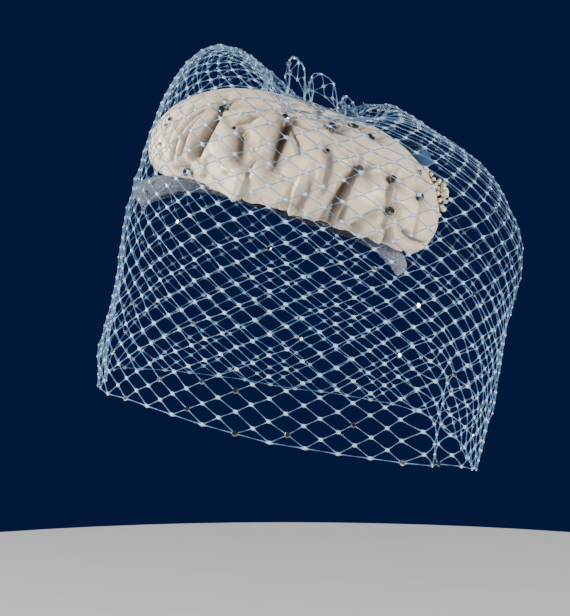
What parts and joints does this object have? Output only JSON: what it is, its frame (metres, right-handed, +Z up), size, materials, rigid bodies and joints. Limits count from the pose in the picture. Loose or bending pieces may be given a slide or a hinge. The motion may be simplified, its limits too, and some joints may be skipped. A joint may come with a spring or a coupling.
{
  "type": "pillbox hat with a birdcage veil",
  "caption": "Small rounded hat of gathered satin with a cage veil of diamond net that falls round the face, crystals on its tucks, a pearl spray and a blue ribbon bow.",
  "frame": {"origin": "middle of the crown's rim opening, where the hat sits on the head", "axes": "+Z up as worn, the wearer looks along -Y, +X towards the wearer's left, where the tilted rim is lower"},
  "size_m": [0.2104, 0.1939, 0.2136],
  "materials": {
    "ivory_satin": "ivory satin, gathered, soft sheen",
    "grey_tulle": "grey tulle, gathered",
    "blue_net": "pale blue nylon net, knotted, slightly glossy",
    "seed_pearls": "cream pearl lustre",
    "blue_ribbon": "mid blue satin ribbon",
    "dark_crystal": "faceted, smoky clear"
  },
  "bodies": {
    "root": {"crown": "ivory_satin", "inner_band": "grey_tulle", "veil": "blue_net", "veil_loop_1": "blue_net", "veil_loop_2": "blue_net", "veil_loop_3": "blue_net", "pearl_spray": "seed_pearls", "ribbon_loop_1": "blue_ribbon", "ribbon_loop_2": "blue_ribbon", "ribbon_knot": "blue_ribbon", "tuck_crystal_01": "dark_crystal", "tuck_crystal_02": "dark_crystal", "tuck_crystal_03": "dark_crystal", "tuck_crystal_04": "dark_crystal", "tuck_crystal_05": "dark_crystal", "tuck_crystal_06": "dark_crystal", "tuck_crystal_07": "dark_crystal", "tuck_crystal_08": "dark_crystal", "tuck_crystal_09": "dark_crystal", "tuck_crystal_10": "dark_crystal", "tuck_crystal_11": "dark_crystal", "tuck_crystal_12": "dark_crystal", "tuck_crystal_13": "dark_crystal", "tuck_crystal_14": "dark_crystal", "tuck_crystal_15": "dark_crystal"}
  },
  "joints": []
}
